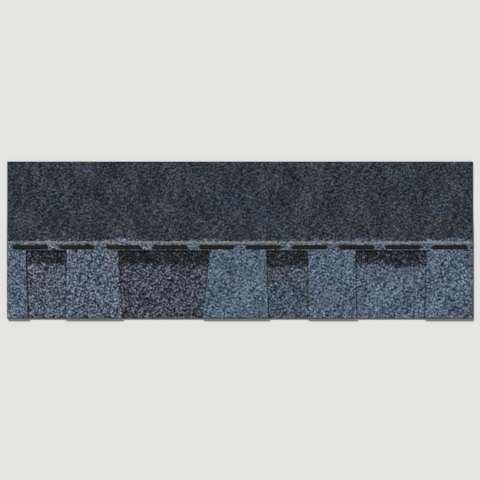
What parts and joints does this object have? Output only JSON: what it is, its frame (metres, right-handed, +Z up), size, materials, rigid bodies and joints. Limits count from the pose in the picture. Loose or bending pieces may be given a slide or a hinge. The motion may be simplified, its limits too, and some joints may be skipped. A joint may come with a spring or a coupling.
{
  "type": "laminated asphalt shingle",
  "caption": "Laminated asphalt roofing shingle: a granule-faced top ply cut into uneven tapered teeth over a plain backer strip, with dashed self-seal adhesive.",
  "frame": {"origin": "middle of the underside as the shingle lies flat: half way along its length and half way from butt edge to top edge, on the floor", "axes": "+X along the length, +Y from the butt edge up the roof slope, +Z up, out of the weather face"},
  "size_m": [1, 0.337, 0.0058],
  "materials": {
    "top_ply": "rough blue-grey mineral granules on asphalt",
    "backer": "rough grey mineral granules on asphalt",
    "sealant": "smooth black asphalt adhesive",
    "tape": "thin glossy film over dark asphalt"
  },
  "bodies": {
    "root": {"tooth_sheet": "top_ply", "backer_sheet": "backer", "sealant_dashes": "sealant", "release_tape": "tape"}
  },
  "joints": []
}
